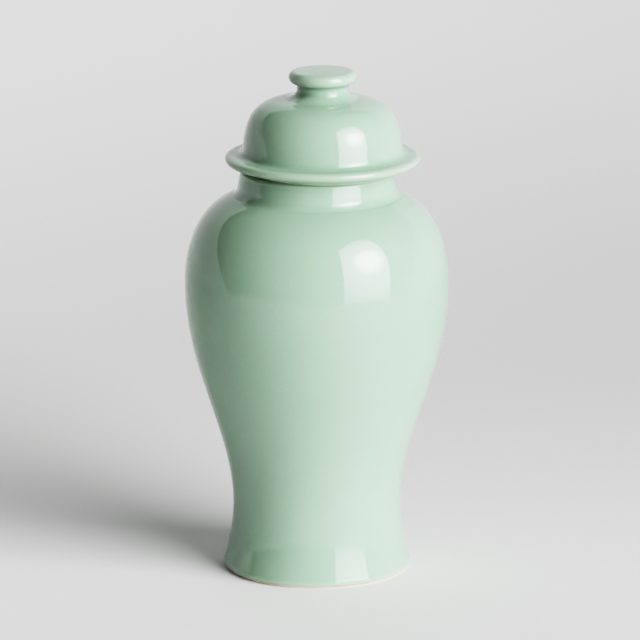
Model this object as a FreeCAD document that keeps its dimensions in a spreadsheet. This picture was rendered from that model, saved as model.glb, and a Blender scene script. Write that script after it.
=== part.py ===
import FreeCAD, Part
import os
import re
import Sketcher

# Ginger jar: a thrown and glazed stoneware jar with a domed, lift-off lid.
# Frame: millimetres, +Z up, origin at the centre of the foot, on the surface it stands on.
# The jar is turned about Z.  The lid is turned about its own axis, which stands a little
# to the +X side, because a loose lid never sits dead centre in the mouth.

# Every driving dimension, in millimetres, or degrees where the note says so.
SIZES = (
    # jar, outside
    ("foot_radius", 54.8, "outer edge of the ring that the jar stands on"),
    ("glaze_edge_radius", 56.1, "where the bare bevel of the foot meets the glaze"),
    ("glaze_edge_height", 1.8, "height of that edge"),
    ("edge_swell", 0.5, "how far the rounded edge of the foot swells out"),
    ("edge_pull", 1.1, "fullness of that rounded edge"),
    ("flare_radius", 56.0, "crease where the rounded edge meets the flare above it"),
    ("flare_height", 5.2, "its height"),
    ("flare_lean", 13.9, "inward lean of the flare above the crease, in degrees"),
    ("flare_pull", 6.1, "how far the flare keeps that lean"),
    ("waist_radius", 50.8, "narrowest place above the foot"),
    ("waist_height", 39.5, "its height"),
    ("waist_pull_below", 16.3, "fullness of the waist towards the foot"),
    ("waist_pull_above", 44.5, "fullness of the waist towards the belly"),
    ("belly_radius", 79.4, "widest place"),
    ("belly_height", 176.0, "its height"),
    ("belly_pull_below", 54.6, "fullness of the belly downwards"),
    ("belly_pull_above", 10.0, "fullness of the belly upwards"),
    ("shoulder_radius", 54.7, "end of the round shoulder"),
    ("shoulder_height", 227.9, "its height"),
    ("shoulder_slope", 27.0, "fall of the shoulder at that place, in degrees"),
    ("shoulder_pull", 26.4, "fullness of the shoulder"),
    ("neck_radius", 47.3, "foot of the short upright neck"),
    ("neck_fillet", 7.0, "hollow between shoulder and neck"),
    ("rim_radius", 46.9, "outside of the rim"),
    ("rim_height", 244.8, "flat land of the rim, which carries the lid"),
    ("rim_round", 1.8, "rounding of the rim's two edges"),
    # jar, inside and underneath
    ("wall", 5.0, "wall of belly and shoulder"),
    ("waist_wall", 5.6, "wall of the waist"),
    ("mouth_radius", 40.0, "bore of the neck"),
    ("mouth_fillet", 6.0, "rounding where the bore opens into the shoulder"),
    ("floor_height", 11.5, "inside floor"),
    ("floor_radius", 24.0, "flat middle of the inside floor"),
    ("floor_pull", 16.0, "roundness between floor and wall"),
    ("recess_height", 4.0, "depth of the hollow under the foot"),
    ("recess_radius", 45.6, "radius of the hollow under the foot"),
    ("recess_fillet", 2.2, "rounding inside that hollow"),
    # lid
    ("lid_shift", 3.5, "how far the loose lid sits off the jar's axis"),
    ("lid_seat_height", 244.9, "flat underside of the seat that rests on the rim"),
    ("seat_radius", 45.8, "outer edge of that seat"),
    ("seat_round", 0.8, "rounding of that edge"),
    ("brim_height", 249.0, "underside of the brim, which overhangs the rim"),
    ("brim_root_radius", 46.4, "where that underside meets the seat's wall"),
    ("brim_root_fillet", 1.5, "hollow between the two"),
    ("brim_radius", 58.4, "outer edge of the brim"),
    ("brim_round", 3.1, "rounding of the brim's lower edge"),
    ("brim_top_radius", 54.2, "where the brim's upper face lies flat"),
    ("brim_top_height", 254.5, "its height"),
    ("dome_radius", 47.7, "foot of the dome, above the brim"),
    ("dome_foot_height", 260.4, "its height"),
    ("dome_lean", 5.3, "inward lean of the dome's wall, in degrees"),
    ("dome_root_pull", 4.1, "hollow between brim and dome"),
    ("dome_wall_pull", 20.2, "fullness of the dome's wall"),
    ("dome_turn_radius", 38.5, "corner that the dome's outline turns round"),
    ("dome_turn_height", 287.9, "height of that corner"),
    ("crown_radius", 18.2, "scored flat on the crown that the knob is luted to"),
    ("crown_height", 288.7, "its height"),
    ("dome_wall", 4.8, "wall of the dome"),
    ("hollow_radius", 32.6, "opening of the hollow under the lid"),
    ("hollow_foot_height", 262.0, "where the hollow has reached its full width"),
    # locating ring
    ("ring_radius", 36.0, "outside of the ring at the lid"),
    ("ring_tip_radius", 35.5, "outside of the ring at its tip"),
    ("ring_wall", 3.4, "wall of the ring"),
    ("ring_depth", 11.9, "how far the ring reaches into the mouth"),
    ("ring_round", 1.2, "rounding of its tip"),
    # knob
    ("knob_base_radius", 18.0, "flared base of the knob's stem"),
    ("stem_radius", 15.4, "narrowest place of the stem"),
    ("stem_height", 293.8, "its height"),
    ("stem_flare_pull", 2.6, "fullness of the flare"),
    ("button_radius", 20.4, "outer edge of the button"),
    ("button_height", 301.4, "height of that edge"),
    ("button_round", 3.7, "rounding of the button's edge"),
    ("button_crown", 0.3, "rise of the button's top towards its middle"),
)

WORDS = re.compile(r"[a-z_]+")
NOT_SIZES = ("sin", "cos", "deg")

doc = FreeCAD.newDocument("ginger_jar")
sheet = doc.addObject("Spreadsheet::Sheet", "sizes")
for row, (alias, value, note) in enumerate(SIZES, start=1):
    sheet.set("A%d" % row, str(value))
    sheet.setAlias("A%d" % row, alias)
    sheet.set("B%d" % row, note)
doc.recompute()


def bound(expression):
    """Spell a size expression the way the document reads it: neck_radius -> sizes.neck_radius."""
    def spell(match):
        word = match.group(0)
        return word if word in NOT_SIZES else "sizes." + word
    return WORDS.sub(spell, expression)


def new_body(label):
    body = doc.addObject("PartDesign::Body", label)
    body.Label = label
    return body


class Outline:
    """A closed outline in a body's XZ plane: x is the radius, y the height.

    Each point is a pair of size expressions, and each becomes two named constraints that
    are bound to the sheet.  A point on the axis has "0" as its radius.
    """

    def __init__(self, body, name):
        self.sketch = body.newObject("Sketcher::SketchObject", name)
        plane = [item for item in body.Origin.OriginFeatures if item.Role == "XZ_Plane"][0]
        self.sketch.AttachmentSupport = [(plane, "")]
        self.sketch.MapMode = "FlatFace"
        self.first_point = None
        self.last_point = None
        self.last_end = None
        self.first_end = None

    def place(self, point):
        values = [self.sketch.evalExpression(bound(part)) for part in point]
        return FreeCAD.Vector(float(values[0]), float(values[1]), 0)

    def constrain(self, kind, *arguments):
        return self.sketch.addConstraint(Sketcher.Constraint(kind, *arguments))

    def fix(self, end, point):
        """Hold one end of a piece of geometry at a point given by two size expressions."""
        place = self.place(point)
        names = ("DistanceX", "DistanceY")
        for kind, expression, distance in zip(names, point, (place.x, place.y)):
            if expression == "0":
                axis = -2 if kind == "DistanceX" else -1
                self.constrain("PointOnObject", *end, axis)
                continue
            number = self.constrain(kind, -1, 1, *end, distance)
            name = "%s_%d" % (kind.lower(), number)
            self.sketch.renameConstraint(number, name)
            self.sketch.setExpression("Constraints." + name, bound(expression))

    def start(self, point):
        self.last_point = point
        self.first_point = point

    def join(self, start, end, point):
        """Tie a new piece to the one before it, and hold its far end."""
        if self.last_end is None:
            self.fix(start, self.last_point)
            self.first_end = start
        else:
            self.constrain("Coincident", *self.last_end, *start)
        if point is self.first_point:
            self.constrain("Coincident", *end, *self.first_end)
        else:
            self.fix(end, point)
        self.last_end = end
        self.last_point = point

    def line_to(self, point):
        line = Part.LineSegment(self.place(self.last_point), self.place(point))
        number = self.sketch.addGeometry(line, False)
        self.join((number, 1), (number, 2), point)

    def curve_to(self, first_handle, second_handle, point):
        """A cubic curve whose two handles give its direction and its fullness."""
        cubic = Part.BezierCurve()
        poles = (self.last_point, first_handle, second_handle, point)
        cubic.setPoles([self.place(pole) for pole in poles])
        number = self.sketch.addGeometry(cubic.toBSpline(), False)
        self.sketch.exposeInternalGeometry(number)
        self.join((number, 1), (number, 2), point)
        self.fix((number + 2, 3), first_handle)
        self.fix((number + 3, 3), second_handle)

    def quarter_to(self, point, centre_height):
        """A quarter of a round edge, anticlockwise from the last point, its centre's height given."""
        start = self.place(self.last_point)
        end = self.place(point)
        height = self.place(("0", centre_height)).y
        across = start.x if abs(start.y - height) > abs(end.y - height) else end.x
        centre = FreeCAD.Vector(across, height, 0)
        chord_middle = (start + end) * 0.5
        outward = (chord_middle - centre).normalize()
        middle = centre + outward * (start - centre).Length
        number = self.sketch.addGeometry(Part.Arc(start, middle, end), False)
        self.join((number, 1), (number, 2), point)
        index = self.constrain("DistanceY", -1, 1, number, 3, height)
        name = "centre_%d" % index
        self.sketch.renameConstraint(index, name)
        self.sketch.setExpression("Constraints." + name, bound(centre_height))

    def close(self):
        self.line_to(self.first_point)


def turn(body, outline):
    """Turn a finished outline about the upright axis into a solid."""
    solid = body.newObject("PartDesign::Revolution", body.Name + "_turned")
    solid.Profile = outline.sketch
    solid.ReferenceAxis = (outline.sketch, ["V_Axis"])
    solid.Angle = 360
    doc.recompute()
    return solid


def round_edges(body, solid, name, corners, radius):
    """Round the circular edges that lie at the given (radius, height) corners."""
    names = []
    for corner in corners:
        values = [float(solid.evalExpression(bound(part))) for part in corner]
        for number, edge in enumerate(solid.Shape.Edges, start=1):
            circle = edge.Curve
            if not isinstance(circle, Part.Circle):
                continue
            near_radius = abs(circle.Radius - values[0]) < 0.01
            near_height = abs(circle.Center.z - values[1]) < 0.01
            if near_radius and near_height:
                names.append("Edge%d" % number)
    rounded = body.newObject("PartDesign::Fillet", name)
    rounded.Base = (solid, names)
    rounded.setExpression("Radius", bound(radius))
    doc.recompute()
    return rounded


# ---- jar: foot, wall, shoulder and neck, thrown in one piece ------------------------------
WALL_IN = "wall * sin(shoulder_slope * 1 deg)"
WALL_DOWN = "wall * cos(shoulder_slope * 1 deg)"
SHOULDER_OUT = "shoulder_pull * cos(shoulder_slope * 1 deg)"
SHOULDER_DOWN = "shoulder_pull * sin(shoulder_slope * 1 deg)"
SLOPE_RISE = "sin(shoulder_slope * 1 deg) / cos(shoulder_slope * 1 deg)"
NECK_FOOT = ("neck_radius", "shoulder_height + (shoulder_radius - neck_radius) * " + SLOPE_RISE)
INNER_SHOULDER = ("shoulder_radius - " + WALL_IN, "shoulder_height - " + WALL_DOWN)
BORE_FOOT = (
    "mouth_radius",
    "shoulder_height - %s + (shoulder_radius - %s - mouth_radius) * %s"
    % (WALL_DOWN, WALL_IN, SLOPE_RISE),
)


def make_jar_body():
    body = new_body("jar_body")
    outline = Outline(body, "jar_outline")
    outline.start(("0", "recess_height"))
    outline.line_to(("recess_radius", "recess_height"))
    outline.line_to(("recess_radius", "0"))
    outline.line_to(("foot_radius", "0"))
    outline.line_to(("glaze_edge_radius", "glaze_edge_height"))
    outline.curve_to(
        ("glaze_edge_radius + edge_swell", "glaze_edge_height + edge_pull"),
        ("flare_radius + edge_swell", "flare_height - edge_pull"),
        ("flare_radius", "flare_height"),
    )
    outline.curve_to(
        (
            "flare_radius - flare_pull * sin(flare_lean * 1 deg)",
            "flare_height + flare_pull * cos(flare_lean * 1 deg)",
        ),
        ("waist_radius", "waist_height - waist_pull_below"),
        ("waist_radius", "waist_height"),
    )
    outline.curve_to(
        ("waist_radius", "waist_height + waist_pull_above"),
        ("belly_radius", "belly_height - belly_pull_below"),
        ("belly_radius", "belly_height"),
    )
    outline.curve_to(
        ("belly_radius", "belly_height + belly_pull_above"),
        ("shoulder_radius + " + SHOULDER_OUT, "shoulder_height - " + SHOULDER_DOWN),
        ("shoulder_radius", "shoulder_height"),
    )
    outline.line_to(NECK_FOOT)
    outline.line_to(("rim_radius", "rim_height"))
    outline.line_to(("mouth_radius", "rim_height"))
    outline.line_to(BORE_FOOT)
    outline.line_to(INNER_SHOULDER)
    outline.curve_to(
        (
            "shoulder_radius - %s + %s" % (WALL_IN, SHOULDER_OUT),
            "shoulder_height - %s - %s" % (WALL_DOWN, SHOULDER_DOWN),
        ),
        ("belly_radius - wall", "belly_height + belly_pull_above"),
        ("belly_radius - wall", "belly_height"),
    )
    outline.curve_to(
        ("belly_radius - wall", "belly_height - belly_pull_below"),
        ("waist_radius - waist_wall", "waist_height + waist_pull_above"),
        ("waist_radius - waist_wall", "waist_height"),
    )
    outline.curve_to(
        ("waist_radius - waist_wall", "waist_height - floor_pull"),
        ("floor_radius + floor_pull", "floor_height"),
        ("floor_radius", "floor_height"),
    )
    outline.line_to(("0", "floor_height"))
    outline.close()
    solid = turn(body, outline)
    solid = round_edges(body, solid, "neck_hollow", [NECK_FOOT], "neck_fillet")
    solid = round_edges(body, solid, "bore_mouth", [BORE_FOOT], "mouth_fillet")
    rim_corners = [("rim_radius", "rim_height"), ("mouth_radius", "rim_height")]
    solid = round_edges(body, solid, "rim_edges", rim_corners, "rim_round")
    recess_corner = [("recess_radius", "recess_height")]
    round_edges(body, solid, "foot_hollow", recess_corner, "recess_fillet")
    return body


# ---- lid: dome and brim ------------------------------------------------------------------
LEAN_IN = "sin(dome_lean * 1 deg)"
LEAN_UP = "cos(dome_lean * 1 deg)"


def make_lid_dome():
    body = new_body("lid_dome")
    outline = Outline(body, "lid_outline")
    seat_edge = ("seat_radius", "lid_seat_height")
    brim_root = ("brim_root_radius", "brim_height")
    outline.start(("hollow_radius", "lid_seat_height"))
    outline.line_to(seat_edge)
    outline.line_to(brim_root)
    outline.line_to(("brim_radius - brim_round", "brim_height"))
    edge_height = "brim_height + brim_round"
    outline.quarter_to(("brim_radius", edge_height), edge_height)
    outline.curve_to(
        ("brim_radius", "(%s) * 0.3 + brim_top_height * 0.7" % edge_height),
        ("(brim_radius + brim_top_radius) / 2", "brim_top_height"),
        ("brim_top_radius", "brim_top_height"),
    )
    outline.curve_to(
        ("brim_top_radius - dome_root_pull", "brim_top_height"),
        (
            "dome_radius + dome_root_pull * " + LEAN_IN,
            "dome_foot_height - dome_root_pull * " + LEAN_UP,
        ),
        ("dome_radius", "dome_foot_height"),
    )
    outline.curve_to(
        (
            "dome_radius - dome_wall_pull * " + LEAN_IN,
            "dome_foot_height + dome_wall_pull * " + LEAN_UP,
        ),
        ("dome_turn_radius", "dome_turn_height"),
        ("crown_radius", "crown_height"),
    )
    outline.line_to(("0", "crown_height"))
    outline.line_to(("0", "crown_height - dome_wall"))
    outline.line_to(("crown_radius", "crown_height - dome_wall"))
    outline.curve_to(
        ("dome_turn_radius - dome_wall", "dome_turn_height - dome_wall"),
        (
            "dome_radius - dome_wall - dome_wall_pull * " + LEAN_IN,
            "dome_foot_height + dome_wall_pull * " + LEAN_UP,
        ),
        ("dome_radius - dome_wall", "hollow_foot_height"),
    )
    outline.curve_to(
        ("dome_radius - dome_wall", "(hollow_foot_height + brim_height) / 2"),
        ("hollow_radius + dome_root_pull", "brim_height + dome_wall"),
        ("hollow_radius", "brim_height + dome_wall / 2"),
    )
    outline.close()
    solid = turn(body, outline)
    solid = round_edges(body, solid, "seat_edge", [seat_edge], "seat_round")
    round_edges(body, solid, "brim_root", [brim_root], "brim_root_fillet")
    return body


# ---- ring under the lid, which keeps it in the mouth ---------------------------------------
def make_lid_locating_ring():
    body = new_body("lid_locating_ring")
    outline = Outline(body, "ring_outline")
    outer_tip = ("ring_tip_radius", "lid_seat_height - ring_depth")
    inner_tip = ("ring_radius - ring_wall", "lid_seat_height - ring_depth")
    outline.start(("ring_radius - ring_wall", "lid_seat_height"))
    outline.line_to(inner_tip)
    outline.line_to(outer_tip)
    outline.line_to(("ring_radius", "lid_seat_height"))
    outline.close()
    solid = turn(body, outline)
    round_edges(body, solid, "ring_tip", [outer_tip, inner_tip], "ring_round")
    return body


# ---- knob: a button on a short waisted stem -------------------------------------------------
def make_lid_knob():
    body = new_body("lid_knob")
    outline = Outline(body, "knob_outline")
    edge_radius = "button_radius - button_round"
    top_height = "button_height + button_round"
    outline.start(("0", "crown_height"))
    outline.line_to(("knob_base_radius", "crown_height"))
    outline.curve_to(
        ("(knob_base_radius + stem_radius) / 2", "crown_height + stem_flare_pull / 2"),
        ("stem_radius", "stem_height - stem_flare_pull"),
        ("stem_radius", "stem_height"),
    )
    outline.line_to(("stem_radius", "button_height - button_round"))
    outline.line_to((edge_radius, "button_height - button_round"))
    outline.quarter_to(("button_radius", "button_height"), "button_height")
    outline.quarter_to((edge_radius, top_height), "button_height")
    outline.curve_to(
        ("(button_radius - button_round) * 2 / 3", top_height + " + button_crown / 3"),
        ("(button_radius - button_round) / 3", top_height + " + button_crown"),
        ("0", top_height + " + button_crown"),
    )
    outline.close()
    turn(body, outline)
    return body


jar = make_jar_body()
lid_pieces = [make_lid_dome(), make_lid_locating_ring(), make_lid_knob()]
for piece in lid_pieces:
    piece.setExpression("Placement.Base.x", bound("lid_shift"))
doc.recompute()

for item in doc.Objects:
    if "Invalid" in item.State or "Error" in item.State:
        raise RuntimeError("%s failed: %s" % (item.Label, item.State))

os.makedirs("parts", exist_ok=True)
for piece in [jar] + lid_pieces:
    shape = piece.Shape
    if shape.isNull() or not shape.isValid() or len(shape.Solids) != 1:
        raise RuntimeError("%s is not one sound solid" % piece.Label)
    box = shape.BoundBox
    print(
        "%-18s volume %9.0f mm3, z %.2f to %.2f, x %.2f to %.2f"
        % (piece.Label, shape.Volume, box.ZMin, box.ZMax, box.XMin, box.XMax)
    )
    shape.exportStep("parts/%s.step" % piece.Label)
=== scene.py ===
import math

import bpy
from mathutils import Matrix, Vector


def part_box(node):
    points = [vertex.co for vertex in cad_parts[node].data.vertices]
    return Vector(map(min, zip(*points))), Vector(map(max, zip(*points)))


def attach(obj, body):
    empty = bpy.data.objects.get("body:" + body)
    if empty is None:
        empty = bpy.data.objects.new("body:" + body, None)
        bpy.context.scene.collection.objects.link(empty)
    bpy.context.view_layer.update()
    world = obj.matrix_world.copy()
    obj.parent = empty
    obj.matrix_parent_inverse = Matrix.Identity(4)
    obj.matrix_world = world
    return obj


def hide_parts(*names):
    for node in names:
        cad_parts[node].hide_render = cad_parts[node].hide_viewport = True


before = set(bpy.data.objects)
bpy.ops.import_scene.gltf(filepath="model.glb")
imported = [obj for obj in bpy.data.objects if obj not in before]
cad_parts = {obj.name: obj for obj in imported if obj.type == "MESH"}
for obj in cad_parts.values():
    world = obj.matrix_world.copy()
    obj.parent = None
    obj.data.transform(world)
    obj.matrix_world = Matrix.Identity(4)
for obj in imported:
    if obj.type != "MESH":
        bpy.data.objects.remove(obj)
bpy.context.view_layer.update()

MM = 0.001
AROUND = 256                       # faces round each turned piece
SHARPEST = math.radians(100.0)     # a sharper turn is a joint with another piece, not an edge
BROWN_AND_SHADE_REACH = 0.5                # mm over which the clay is browned beside the glaze, as fired colour and painted shade

# ---- places and sizes, from the frame -----------------------------------------------------
jar_low, jar_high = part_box("jar_body")
dome_low, dome_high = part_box("lid_dome")
ring_low, ring_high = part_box("lid_locating_ring")
knob_low, knob_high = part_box("lid_knob")

lid_axis = (dome_low.x + dome_high.x) / 2
belly_radius = (jar_high.x - jar_low.x) / 2 / MM
rim_height = jar_high.z / MM
seat_height = dome_low.z / MM
brim_radius = (dome_high.x - dome_low.x) / 2 / MM
crown_height = dome_high.z / MM
ring_radius = (ring_high.x - ring_low.x) / 2 / MM
ring_tip_height = ring_low.z / MM
button_radius = (knob_high.x - knob_low.x) / 2 / MM
knob_top = knob_high.z / MM


# ---- outlines ------------------------------------------------------------------------------
class Outline:
    """Half of a turned section, in millimetres: points (radius, height) with a finish each.

    A finish is "glaze" or "clay", and it holds for the faces from its point to the next.
    """

    def __init__(self, radius, height, finish):
        self.points = [(radius, height)]
        self.finishes = [finish]
        self.finish = finish

    def change(self, finish):
        self.finish = finish
        self.finishes[-1] = finish

    def to(self, radius, height):
        self.points.append((radius, height))
        self.finishes.append(self.finish)
        return self

    def line(self, radius, height, steps=1):
        start = self.points[-1]
        for step in range(1, steps + 1):
            part = step / steps
            self.to(start[0] + (radius - start[0]) * part, start[1] + (height - start[1]) * part)
        return self

    def curve(self, first, second, end, steps=24):
        """A cubic curve with two handles."""
        start = self.points[-1]
        for step in range(1, steps + 1):
            t = step / steps
            weights = ((1 - t) ** 3, 3 * (1 - t) ** 2 * t, 3 * (1 - t) * t ** 2, t ** 3)
            poles = (start, first, second, end)
            self.to(*(
                sum(weight * pole[axis] for weight, pole in zip(weights, poles))
                for axis in (0, 1)
            ))
        return self

    def arc(self, centre, radius, first_angle, last_angle, steps=8):
        """Part of a circle; angles in degrees, 0 pointing outwards and 90 up."""
        for step in range(steps + 1):
            angle = math.radians(first_angle + (last_angle - first_angle) * step / steps)
            self.to(centre[0] + radius * math.cos(angle), centre[1] + radius * math.sin(angle))
        return self


def bends(points, reach):
    """How sharply an outline turns at each point, in 1/mm, averaged over a reach in mm.

    Positive where the piece's surface is rounded outwards, negative in its hollows. A turn
    beyond SHARPEST is hidden where the piece meets another one, so it doesn't count.
    """
    lengths = [0.0]
    for a, b in zip(points, points[1:]):
        lengths.append(lengths[-1] + math.dist(a, b))
    turns = []
    for index in range(1, len(points) - 1):
        before = Vector(points[index]) - Vector(points[index - 1])
        after = Vector(points[index + 1]) - Vector(points[index])
        if before.length < 1e-6 or after.length < 1e-6:
            continue
        bend = -before.angle_signed(after)
        if abs(bend) < SHARPEST:
            turns.append((lengths[index], bend))
    result = []
    for place in lengths:
        total = 0.0
        for where, turn in turns:
            distance = (where - place) / reach
            if abs(distance) < 3:
                total += turn * math.exp(-distance * distance / 2)
        result.append(total / (reach * math.sqrt(2 * math.pi)))
    return result


def turn(name, outline, materials, axis=0.0, reach=1.6):
    """Turn an outline about an upright axis into a closed mesh.

    The point attribute "bend" tells the glaze where edges thin it and hollows pool it, and
    "rub" tells the clay how near it is to the end of the glaze.
    """
    points = outline.points
    bend = bends(points, reach)
    finishes = outline.finishes
    joins = [
        index for index in range(1, len(points))
        if finishes[index] != finishes[index - 1]
    ]
    verts = []
    bend_values = []
    glaze_end_near_values = []
    rings = []
    for index, (radius, height) in enumerate(points):
        nearness = max(
            [math.exp(-math.dist(points[index], points[join]) / BROWN_AND_SHADE_REACH) for join in joins],
            default=0.0,
        )
        if radius < 1e-6:
            rings.append([len(verts)])
            verts.append((axis, 0.0, height * MM))
            bend_values.append(bend[index])
            glaze_end_near_values.append(nearness)
            continue
        rings.append(list(range(len(verts), len(verts) + AROUND)))
        for step in range(AROUND):
            angle = 2 * math.pi * step / AROUND
            verts.append((
                axis + radius * MM * math.cos(angle),
                radius * MM * math.sin(angle),
                height * MM,
            ))
            bend_values.append(bend[index])
            glaze_end_near_values.append(nearness)
    faces = []
    slots = []
    for index in range(len(rings)):
        following = (index + 1) % len(rings)
        lower, upper = rings[index], rings[following]
        if len(lower) == 1 and len(upper) == 1:
            continue
        slot = 0 if finishes[index] == "glaze" else 1
        for step in range(AROUND):
            beside = (step + 1) % AROUND
            if len(lower) == 1:
                face = (lower[0], upper[beside], upper[step])
            elif len(upper) == 1:
                face = (lower[step], lower[beside], upper[0])
            else:
                face = (lower[step], lower[beside], upper[beside], upper[step])
            faces.append(face)
            slots.append(slot)
    mesh = bpy.data.meshes.new(name)
    mesh.from_pydata(verts, [], faces)
    mesh.validate()
    mesh.polygons.foreach_set("material_index", slots)
    mesh.polygons.foreach_set("use_smooth", [True] * len(faces))
    mesh.attributes.new("bend", "FLOAT", "POINT").data.foreach_set("value", bend_values)
    mesh.attributes.new("glaze_end_near", "FLOAT", "POINT").data.foreach_set("value", glaze_end_near_values)
    for material in materials:
        mesh.materials.append(material)
    mesh.update()
    piece = bpy.data.objects.new(name, mesh)
    bpy.context.collection.objects.link(piece)
    return piece


# ---- materials -----------------------------------------------------------------------------
class Nodes:
    """A small helper that adds and joins shader nodes."""

    def __init__(self, owner):
        owner.use_nodes = True
        self.tree = owner.node_tree
        self.tree.nodes.clear()

    def add(self, kind, settings=None, **inputs):
        node = self.tree.nodes.new(kind)
        for name, value in (settings or {}).items():
            setattr(node, name, value)
        for name, value in inputs.items():
            self.put(node.inputs[name.replace("_", " ")], value)
        return node

    def put(self, socket, value):
        if hasattr(value, "is_output"):
            self.tree.links.new(value, socket)
        else:
            socket.default_value = value

    def math(self, operation, first, second=0.0, clamp=False):
        node = self.tree.nodes.new("ShaderNodeMath")
        node.operation = operation
        node.use_clamp = clamp
        self.put(node.inputs[0], first)
        self.put(node.inputs[1], second)
        return node.outputs[0]

    def span(self, value, low, high, to_low=0.0, to_high=1.0):
        node = self.add("ShaderNodeMapRange", {"interpolation_type": "SMOOTHSTEP"})
        self.put(node.inputs["Value"], value)
        node.inputs["From Min"].default_value = low
        node.inputs["From Max"].default_value = high
        node.inputs["To Min"].default_value = to_low
        node.inputs["To Max"].default_value = to_high
        return node.outputs["Result"]

    def mix(self, share, first, second, blend="MIX"):
        node = self.add("ShaderNodeMix", {"data_type": "RGBA", "blend_type": blend})
        self.put(node.inputs["Factor"], share)
        self.put(node.inputs[6], first)
        self.put(node.inputs[7], second)
        return node.outputs[2]

    def noise(self, place, scale, detail=3.0, rough=0.5):
        node = self.add("ShaderNodeTexNoise", Vector=place, Scale=scale, Detail=detail)
        node.inputs["Roughness"].default_value = rough
        return node.outputs["Fac"]


def celadon_glaze():
    """Glossy green glass over pale stoneware: thin and cream on edges, deep in hollows."""
    material = bpy.data.materials.new("celadon_glaze")
    nodes = Nodes(material)
    place = nodes.add("ShaderNodeTexCoord").outputs["Object"]
    bend = nodes.add("ShaderNodeAttribute", {"attribute_name": "bend"}).outputs["Fac"]
    cloud = nodes.noise(place, 14.0, 2.0)
    mottle = nodes.noise(place, 420.0, 4.0)
    speck = nodes.noise(place, 1500.0, 2.0)
    wander = nodes.math("MULTIPLY", nodes.math("SUBTRACT", cloud, 0.5), 0.05)
    uneven = nodes.math("ADD", bend, wander)
    thin = nodes.span(uneven, 0.05, 0.45, 0.0, 0.42)
    pooled = nodes.span(uneven, -0.04, -0.35, 0.0, 0.60)
    deep = (0.160, 0.290, 0.195, 1)
    body = (0.290, 0.420, 0.318, 1)
    pale = (0.470, 0.535, 0.425, 1)
    colour = nodes.mix(pooled, body, deep)
    colour = nodes.mix(thin, colour, pale)
    colour = nodes.mix(nodes.span(cloud, 0.35, 0.70, 0.0, 0.10), colour, deep)
    colour = nodes.mix(nodes.span(mottle, 0.45, 0.65, 0.0, 0.05), colour, pale)
    colour = nodes.mix(nodes.span(speck, 0.70, 0.78, 0.0, 0.10), colour, deep)
    ripple = nodes.noise(place, 26.0, 1.0)
    peel = nodes.noise(place, 180.0, 2.0)
    height = nodes.math("ADD", ripple, nodes.math("MULTIPLY", peel, 0.03))
    bump = nodes.add("ShaderNodeBump", Strength=0.12, Distance=0.0006, Height=height)
    roughness = nodes.span(mottle, 0.3, 0.7, 0.030, 0.055)
    shader = nodes.add("ShaderNodeBsdfPrincipled")
    nodes.put(shader.inputs["Base Color"], colour)
    nodes.put(shader.inputs["Roughness"], roughness)
    nodes.put(shader.inputs["Normal"], bump.outputs["Normal"])
    shader.inputs["IOR"].default_value = 1.5
    shader.inputs["Subsurface Weight"].default_value = 0.25
    shader.inputs["Subsurface Radius"].default_value = (0.8, 1.6, 1.0)
    shader.inputs["Subsurface Scale"].default_value = 0.003
    output = nodes.add("ShaderNodeOutputMaterial")
    nodes.put(output.inputs["Surface"], shader.outputs["BSDF"])
    return material


def bare_clay():
    """Unglazed pale stoneware: fine grain, and brown where the glaze ends, partly the clay's fired
    colour and partly painted shade for the dark line at the foot.
    """
    material = bpy.data.materials.new("bare_clay")
    nodes = Nodes(material)
    place = nodes.add("ShaderNodeTexCoord").outputs["Object"]
    glaze_end_near = nodes.add("ShaderNodeAttribute", {"attribute_name": "glaze_end_near"}).outputs["Fac"]
    patches = nodes.noise(place, 45.0, 3.0)
    grain = nodes.noise(place, 900.0, 5.0, 0.7)
    uneven = nodes.span(patches, 0.35, 0.6, 0.2, 1.0)
    # Brown beside the glaze's end: partly the clay's fired colour, partly painted shade for the dark
    # line at the foot's base.
    kiln_brown_and_shade = nodes.math("MULTIPLY", nodes.span(glaze_end_near, 0.15, 0.8), uneven)
    buff = (0.62, 0.52, 0.43, 1)
    pale = (0.76, 0.66, 0.56, 1)
    warm = (0.66, 0.52, 0.40, 1)
    brown = (0.36, 0.22, 0.13, 1)
    colour = nodes.mix(nodes.span(grain, 0.35, 0.65), buff, pale)
    colour = nodes.mix(nodes.span(patches, 0.4, 0.7, 0.0, 0.4), colour, warm)
    colour = nodes.mix(kiln_brown_and_shade, colour, brown)
    bump = nodes.add("ShaderNodeBump", Strength=0.5, Distance=0.00015, Height=grain)
    shader = nodes.add("ShaderNodeBsdfPrincipled")
    nodes.put(shader.inputs["Base Color"], colour)
    nodes.put(shader.inputs["Roughness"], nodes.span(grain, 0.3, 0.7, 0.72, 0.9))
    nodes.put(shader.inputs["Normal"], bump.outputs["Normal"])
    output = nodes.add("ShaderNodeOutputMaterial")
    nodes.put(output.inputs["Surface"], shader.outputs["BSDF"])
    return material


glaze = celadon_glaze()
clay = bare_clay()
FINISHES = (glaze, clay)


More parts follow.
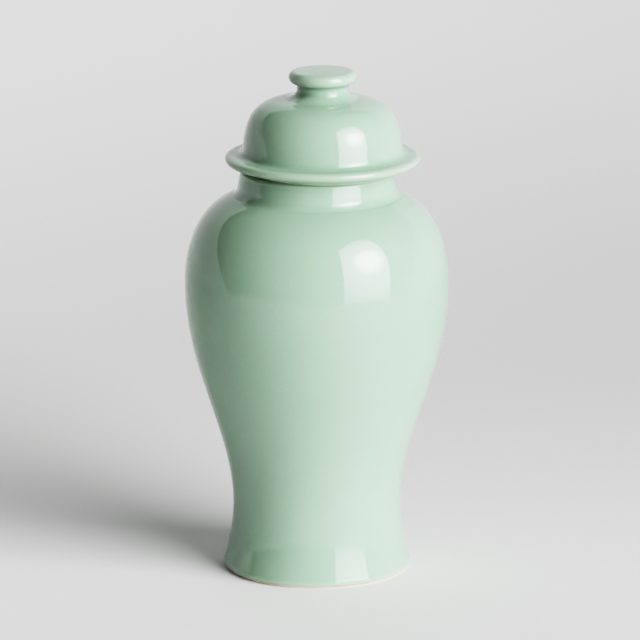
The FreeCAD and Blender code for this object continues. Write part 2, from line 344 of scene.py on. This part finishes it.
# ---- jar -----------------------------------------------------------------------------------
def jar_outline():
    recess_radius = 45.6
    recess_height = 4.0
    recess_fillet = 2.2
    ring_edge = 0.5
    standing_radius = 54.2
    standing_edge = 0.6
    glaze_end = (55.9, 1.6)
    bead = (56.4, 2.2)
    flare = (56.0, 5.2)
    flare_pull = 6.1
    flare_lean = math.radians(13.9)
    waist = (50.8, 39.5)
    waist_pull_below = 16.3
    waist_pull_above = 44.5
    belly_height = 176.0
    belly_pull_below = 54.6
    belly_pull_above = 10.0
    shoulder = (54.7, 227.9)
    shoulder_pull = 26.4
    slope = math.radians(27.0)
    neck_foot_radius = 47.3
    neck_fillet = 7.0
    rim_radius = 46.1
    rim_round = 1.8
    land = (44.0, 42.2)
    bore = 40.0
    bore_fillet = 6.0
    wall = 5.0
    inner_waist_radius = 45.2
    inner_floor = 11.5
    belly = (belly_radius, belly_height)

    # foot: recess, standing ring of bare clay and the glaze's rounded end
    line = Outline(0.0, recess_height, "glaze")
    line.line(recess_radius - recess_fillet, recess_height, 20)
    line.arc((recess_radius - recess_fillet, recess_height - recess_fillet), recess_fillet, 90, 0)
    line.change("clay")
    line.line(recess_radius, ring_edge)
    line.arc((recess_radius + ring_edge, ring_edge), ring_edge, 180, 270, 4)
    line.line(standing_radius, 0.0, 4)
    line.arc((standing_radius, standing_edge), standing_edge, -90, -52, 4)
    line.line(*glaze_end, 6)
    line.change("glaze")
    line.curve((56.1, 1.55), (56.3, 1.75), bead, 6)
    line.curve((56.65, 3.3), (56.45, 4.2), flare, 12)

    # outside: flare, waist, belly and shoulder
    line.curve(
        (flare[0] - flare_pull * math.sin(flare_lean), flare[1] + flare_pull * math.cos(flare_lean)),
        (waist[0], waist[1] - waist_pull_below), waist, 40,
    )
    line.curve(
        (waist[0], waist[1] + waist_pull_above), (belly_radius, belly_height - belly_pull_below),
        belly, 64,
    )
    over_shoulder = (shoulder_pull * math.cos(slope), -shoulder_pull * math.sin(slope))
    line.curve(
        (belly_radius, belly_height + belly_pull_above),
        (shoulder[0] + over_shoulder[0], shoulder[1] + over_shoulder[1]), shoulder, 56,
    )

    # neck: the fillet is tangent to the shoulder's slope and to the upright neck
    corner = (neck_foot_radius, shoulder[1] + (shoulder[0] - neck_foot_radius) * math.tan(slope))
    reach = neck_fillet * math.tan((math.pi / 2 - slope) / 2)
    centre = (neck_foot_radius + neck_fillet, corner[1] + reach)
    line.line(corner[0] + reach * math.cos(slope), corner[1] - reach * math.sin(slope), 3)
    line.arc(centre, neck_fillet, 270 - math.degrees(slope), 180, 14)

    # rim, with a flat land of bare clay
    round_height = rim_height - rim_round
    line.line(rim_radius, round_height, 6)
    line.arc((rim_radius - rim_round, round_height), rim_round, 5, 80, 8)
    line.change("clay")
    line.line(land[0], rim_height).line(land[1], rim_height)
    line.change("glaze")
    line.arc((bore + rim_round, round_height), rim_round, 95, 180, 8)

    # inside: bore, shoulder, belly, waist and rounded floor
    inner_shoulder = (shoulder[0] - wall * math.sin(slope), shoulder[1] - wall * math.cos(slope))
    inner_corner_height = inner_shoulder[1] + (inner_shoulder[0] - bore) * math.tan(slope)
    inner_reach = bore_fillet * math.tan((math.pi / 2 - slope) / 2)
    inner_centre = (bore + bore_fillet, inner_corner_height + inner_reach)
    inner_belly_radius = belly_radius - wall
    line.line(bore, inner_centre[1], 6)
    line.arc(inner_centre, bore_fillet, 180, 270 - math.degrees(slope), 10)
    line.line(inner_shoulder[0], inner_shoulder[1], 3)
    line.curve(
        (inner_shoulder[0] + over_shoulder[0], inner_shoulder[1] + over_shoulder[1]),
        (inner_belly_radius, belly_height + belly_pull_above),
        (inner_belly_radius, belly_height), 40,
    )
    line.curve(
        (inner_belly_radius, belly_height - belly_pull_below),
        (inner_waist_radius, waist[1] + waist_pull_above), (inner_waist_radius, waist[1]), 40,
    )
    line.curve(
        (inner_waist_radius, waist[1] - 16.0), (40.0, inner_floor), (24.0, inner_floor), 24,
    )
    line.line(0.0, inner_floor, 8)
    return line


jar = turn("jar_glazed", jar_outline(), FINISHES)
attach(jar, "jar")
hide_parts("jar_body")


# ---- lid -----------------------------------------------------------------------------------
def lid_outline():
    crown_radius = 18.2
    corner = (38.5, 287.9)
    dome = (47.7, 260.4)
    dome_pull = 20.2
    lean = math.radians(5.3)
    root_pull = 4.9
    brim_top = (54.2, 254.5)
    brim_height = 249.0
    edge = 3.1
    edge_height = brim_height + edge
    seat_wall_radius = 45.9
    root_fillet = 1.5
    clay = (44.6, 36.6)
    hollow_radius = 32.6
    hollow_height = 262.0
    wall = 4.8
    rise = (-dome_pull * math.sin(lean), dome_pull * math.cos(lean))

    # outside: crown, dome and brim
    line = Outline(0.0, crown_height, "glaze")
    line.line(crown_radius, crown_height, 10)
    line.curve(corner, (dome[0] + rise[0], dome[1] + rise[1]), dome, 56)
    line.curve(
        (dome[0] + root_pull * math.sin(lean), dome[1] - root_pull * math.cos(lean)),
        (brim_top[0] - root_pull, brim_top[1]), brim_top, 24,
    )
    line.curve(
        ((brim_radius + brim_top[0]) / 2, brim_top[1]),
        (brim_radius, edge_height * 0.3 + brim_top[1] * 0.7),
        (brim_radius, edge_height), 16,
    )
    line.arc((brim_radius - edge, edge_height), edge, 0, -90, 10)

    # underside: brim, the seat's wall and the bare seat
    root_radius = seat_wall_radius + 2.0
    line.line(root_radius, brim_height, 6)
    line.arc((root_radius, brim_height - root_fillet), root_fillet, 90, 172, 6)
    line.line(seat_wall_radius, seat_height + 0.9, 4)
    line.curve((45.8, seat_height + 0.3), (45.5, seat_height), (clay[0], seat_height), 4)
    line.change("clay")
    line.line(clay[1], seat_height, 4)
    line.change("glaze")
    line.line(hollow_radius, seat_height, 3)

    # hollow under the dome
    inner_dome_radius = dome[0] - wall
    line.line(hollow_radius, brim_height + wall / 2, 6)
    line.curve(
        (36.7, brim_height + wall), (inner_dome_radius, (hollow_height + brim_height) / 2),
        (inner_dome_radius, hollow_height), 16,
    )
    line.curve(
        (inner_dome_radius + rise[0], dome[1] + rise[1]),
        (corner[0] - wall, corner[1] - wall), (crown_radius, crown_height - wall), 32,
    )
    line.line(0.0, crown_height - wall, 6)
    reverse(line)
    return line


def reverse(line):
    """Run an outline the other way, so that every piece is turned with its outside outwards."""
    line.points.reverse()
    line.finishes = line.finishes[-2::-1] + [line.finishes[-1]]


def ring_outline():
    inner = 32.6
    edge = 1.2
    tip_radius = ring_radius - 0.5
    edge_height = ring_tip_height + edge
    line = Outline(inner, seat_height, "clay")
    line.line(inner, edge_height, 6)
    line.arc((inner + edge, edge_height), edge, 180, 270, 6)
    line.arc((tip_radius - edge, edge_height), edge, 270, 360, 6)
    line.line(ring_radius, seat_height, 6)
    line.to((inner + ring_radius) / 2, seat_height)
    return line


def knob_outline():
    """The stem spreads softly over the crown, and its underside is sunk in the dome's wall."""
    foot_radius = 25.0
    foot_height = crown_height - 0.9
    stem_radius = 15.4
    stem_height = 294.2
    edge = 3.7
    edge_radius = button_radius - edge
    edge_height = knob_top - 0.3 - edge
    line = Outline(0.0, foot_height, "glaze")
    line.line(foot_radius, foot_height, 6)
    line.curve(
        (20.5, crown_height + 0.1), (stem_radius, crown_height + 1.2),
        (stem_radius, stem_height), 24,
    )
    under_edge = edge_height - edge
    line.curve((stem_radius, 296.0), (15.3, under_edge + 0.1), (edge_radius, under_edge), 12)
    line.arc((edge_radius, edge_height), edge, -90, 90, 24)
    line.curve(
        (edge_radius * 2 / 3, knob_top - 0.1), (edge_radius / 3, knob_top), (0.0, knob_top), 16,
    )
    return line


dome = turn("lid_dome_glazed", lid_outline(), FINISHES, lid_axis)
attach(dome, "lid")
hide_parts("lid_dome")

knob = turn("lid_knob_glazed", knob_outline(), FINISHES, lid_axis, 1.2)
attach(knob, "lid")
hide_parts("lid_knob")

ring = turn("lid_ring_bare", ring_outline(), FINISHES, lid_axis)
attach(ring, "lid")
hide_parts("lid_locating_ring")


# ---- floor, light and camera -----------------------------------------------------------------
def flat_sheet(name, corners, material):
    mesh = bpy.data.meshes.new(name)
    mesh.from_pydata(corners, [], [tuple(range(len(corners)))])
    mesh.materials.append(material)
    sheet = bpy.data.objects.new(name, mesh)
    bpy.context.collection.objects.link(sheet)
    return sheet


def paper():
    """Pale paper with painted shade and light: darker behind the jar, paler again far away, and
    darker to the right.
    """
    material = bpy.data.materials.new("pale_paper")
    nodes = Nodes(material)
    place = nodes.add("ShaderNodeTexCoord").outputs["Object"]
    axes = nodes.add("ShaderNodeSeparateXYZ", Vector=place)
    away = axes.outputs["Y"]
    # Painted shade behind the jar and to the right, and painted light far away, scaling the paper's
    # colour.
    painted_shade_behind = nodes.span(away, -0.15, 0.50, 0.0, 0.20)
    painted_light_far = nodes.span(away, 0.40, 1.90, 0.0, 0.22)
    painted_side_shade = nodes.math("MULTIPLY", axes.outputs["X"], nodes.span(away, 0.0, 0.9, 0.0, -0.24))
    painted_side_shade = nodes.math("MINIMUM", nodes.math("MAXIMUM", painted_side_shade, -0.08), 0.08)
    tone = nodes.math("ADD", nodes.math("SUBTRACT", 1.01, painted_shade_behind), painted_light_far)
    tone = nodes.math("ADD", tone, painted_side_shade)
    grain = nodes.noise(place, 220.0, 4.0)
    darker = (0.775, 0.775, 0.772, 1)
    lighter = (0.785, 0.785, 0.782, 1)
    colour = nodes.mix(nodes.span(grain, 0.3, 0.7), darker, lighter)
    shade = nodes.add("ShaderNodeVectorMath", {"operation": "SCALE"})
    nodes.put(shade.inputs[0], colour)
    nodes.put(shade.inputs["Scale"], tone)
    shader = nodes.add("ShaderNodeBsdfPrincipled")
    nodes.put(shader.inputs["Base Color"], shade.outputs["Vector"])
    shader.inputs["Roughness"].default_value = 0.75
    shader.inputs["Specular IOR Level"].default_value = 0.2
    output = nodes.add("ShaderNodeOutputMaterial")
    nodes.put(output.inputs["Surface"], shader.outputs["BSDF"])
    return material


def rectangle(left, right, near, far, height=0.0):
    return [(left, near, height), (right, near, height), (right, far, height), (left, far, height)]


# The floor is what the camera sees. The table, just under it, is the lit paper that the glaze
# mirrors and that throws light back on the jar.
pale_paper = paper()
floor = flat_sheet("floor", rectangle(-20, 20, -20, 20), pale_paper)
floor.visible_glossy = False
floor.visible_diffuse = False
floor.visible_shadow = False
table = flat_sheet("table", rectangle(-1.4, 1.0, -1.2, 3.0, -0.0002), pale_paper)
table.visible_camera = False
table.visible_shadow = False


def softbox():
    """The window-like light on the right, seen only in the glaze; the key lamp does its lighting."""
    card_distance = 1.3
    azimuth = math.radians(55.0)
    hot_spot = (-0.13, 0.82, 0.0)
    material = bpy.data.materials.new("softbox_glow")
    nodes = Nodes(material)
    place = nodes.add("ShaderNodeTexCoord").outputs["Object"]
    height = nodes.add("ShaderNodeSeparateXYZ", Vector=place).outputs["Y"]
    distance = nodes.add("ShaderNodeVectorMath", {"operation": "DISTANCE"})
    nodes.put(distance.inputs[0], place)
    distance.inputs[1].default_value = hot_spot
    away = distance.outputs["Value"]
    core = nodes.span(away, 0.15, 0.45, 16.0, 0.0)
    spread = nodes.span(away, 0.3, 1.1, 9.0, 4.5)
    low_fade = nodes.span(height, -0.20, 0.22, 0.30, 1.15)
    strength = nodes.math("MULTIPLY", nodes.math("ADD", core, spread), low_fade)
    glow = nodes.add("ShaderNodeEmission", Color=(1, 1, 1, 1), Strength=strength)
    output = nodes.add("ShaderNodeOutputMaterial")
    nodes.put(output.inputs["Surface"], glow.outputs["Emission"])
    corners = [
        (-0.82, -0.20), (0.16, -0.20), (0.24, 0.30), (0.31, 0.75), (0.32, 1.20), (0.25, 1.75),
        (-0.18, 1.94), (-0.80, 1.60),
    ]
    sheet = flat_sheet("softbox", [(x, y, 0.0) for x, y in corners], material)
    sheet.location = (card_distance * math.sin(azimuth), -card_distance * math.cos(azimuth), 0.0)
    sheet.rotation_euler = (math.pi / 2, 0.0, azimuth)
    sheet.visible_camera = False
    sheet.visible_diffuse = False
    sheet.visible_shadow = False


softbox()


def key_lamp():
    """The same light as the softbox, for lighting the jar and the floor evenly."""
    lamp = bpy.data.lights.new("key", "SUN")
    lamp.energy = 8.6
    lamp.angle = math.radians(50.0)
    key = bpy.data.objects.new("key", lamp)
    bpy.context.collection.objects.link(key)
    azimuth = math.radians(50.0)
    height = math.radians(18.5)
    source = Vector((
        math.sin(azimuth) * math.cos(height), -math.cos(azimuth) * math.cos(height), math.sin(height),
    ))
    key.rotation_mode = "QUATERNION"
    key.rotation_quaternion = source.to_track_quat("Z", "Y")
    key.visible_glossy = False


key_lamp()


def studio_world():
    """What surrounds the jar: a pale wall behind it, a dark room in front and overhead.

    The glaze mirrors that room, other rays get a soft fill from behind and overhead, and the
    camera sees plain white.
    """
    dark_room = (0.04, 0.04, 0.04, 1)
    low_fill = (0.02, 0.02, 0.02, 1)
    top_fill = (0.26, 0.26, 0.26, 1)
    back_fill = (1.15, 1.15, 1.15, 1)
    white = (1.0, 1.0, 1.0, 1)
    world = bpy.data.worlds.new("studio")
    bpy.context.scene.world = world
    nodes = Nodes(world)
    place = nodes.add("ShaderNodeTexCoord").outputs["Generated"]
    direction = nodes.add("ShaderNodeSeparateXYZ", Vector=place)
    behind = direction.outputs["Y"]
    upward = direction.outputs["Z"]
    over_wall = nodes.math("SUBTRACT", nodes.math("MULTIPLY", behind, 0.9), upward)
    wall = nodes.span(over_wall, -0.01, 0.02)
    mirrored = nodes.mix(wall, dark_room, white)
    fill = nodes.mix(nodes.span(upward, 0.5, 1.0), low_fill, top_fill)
    bright_back = nodes.math(
        "MULTIPLY", nodes.span(behind, 0.30, 0.80), nodes.span(upward, -0.05, 0.05),
    )
    fill = nodes.mix(bright_back, fill, back_fill)
    rays = nodes.add("ShaderNodeLightPath")
    colour = nodes.mix(rays.outputs["Is Glossy Ray"], fill, mirrored)
    colour = nodes.mix(rays.outputs["Is Camera Ray"], colour, white)
    background = nodes.add("ShaderNodeBackground", Color=colour, Strength=1.0)
    output = nodes.add("ShaderNodeOutputWorld")
    nodes.put(output.inputs["Surface"], background.outputs["Background"])


studio_world()


def camera():
    data = bpy.data.cameras.new("camera")
    data.sensor_width = 36.0
    data.lens = 308.475
    data.clip_end = 100.0
    eye = bpy.data.objects.new("camera", data)
    bpy.context.collection.objects.link(eye)
    eye.location = (0.0019, -3.200, 0.952)
    eye.rotation_euler = (math.radians(90.0 - 14.033), 0.0, 0.0)
    bpy.context.scene.camera = eye


camera()


def tone_curve():
    """A photographic tone curve: a soft toe, straight middle and rounded highlights."""
    view = bpy.context.scene.view_settings
    view.view_transform = "Standard"
    view.look = "None"
    view.use_curve_mapping = True
    mapping = view.curve_mapping
    brightest = 5.0
    mapping.white_level = (brightest, brightest, brightest)
    curve = mapping.curves[3]
    for scene_light, shown in (
        (0.03, 0.013), (0.08, 0.05), (0.177, 0.14), (0.304, 0.29), (0.441, 0.43), (0.58, 0.54),
        (0.714, 0.62), (1.0, 0.74), (1.35, 0.82), (2.0, 0.90), (3.0, 0.96),
    ):
        curve.points.new(scene_light / brightest, shown)
    mapping.update()


tone_curve()
